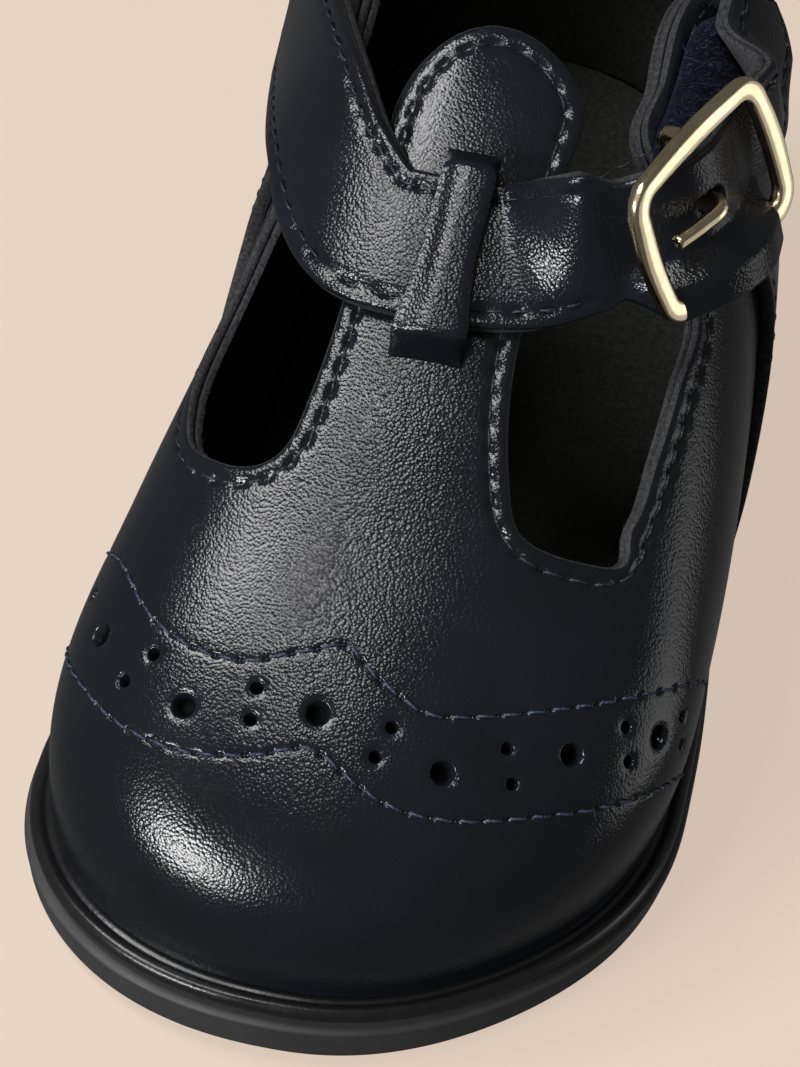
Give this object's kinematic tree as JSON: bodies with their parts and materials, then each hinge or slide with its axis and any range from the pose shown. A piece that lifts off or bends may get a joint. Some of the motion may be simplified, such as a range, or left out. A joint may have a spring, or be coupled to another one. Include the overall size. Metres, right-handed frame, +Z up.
{
  "type": "t-bar shoe",
  "caption": "Toddler's T-bar shoe in smooth navy-black leather with a gold buckle on the outer side and a low moulded sole.",
  "frame": {"origin": "on the floor, under the middle of the shoe's box", "axes": "+Z up, toe towards -Y, outer (lateral) side towards +X"},
  "size_m": [0.065, 0.1386, 0.0726],
  "materials": {
    "sole_rubber": "satin moulded",
    "welt_gloss": "glossy",
    "sock": "matte",
    "leather": "smooth, fine grain, soft gloss",
    "loop_fabric": "looped pile",
    "gold": "polished pale gold"
  },
  "bodies": {
    "root": {"outsole": "sole_rubber", "welt": "welt_gloss", "insole": "sock", "upper": "leather", "back_quarter": "leather", "strap": "leather", "keeper": "leather", "loop_patch": "loop_fabric", "buckle_frame": "gold", "buckle_prong": "gold"}
  },
  "joints": []
}
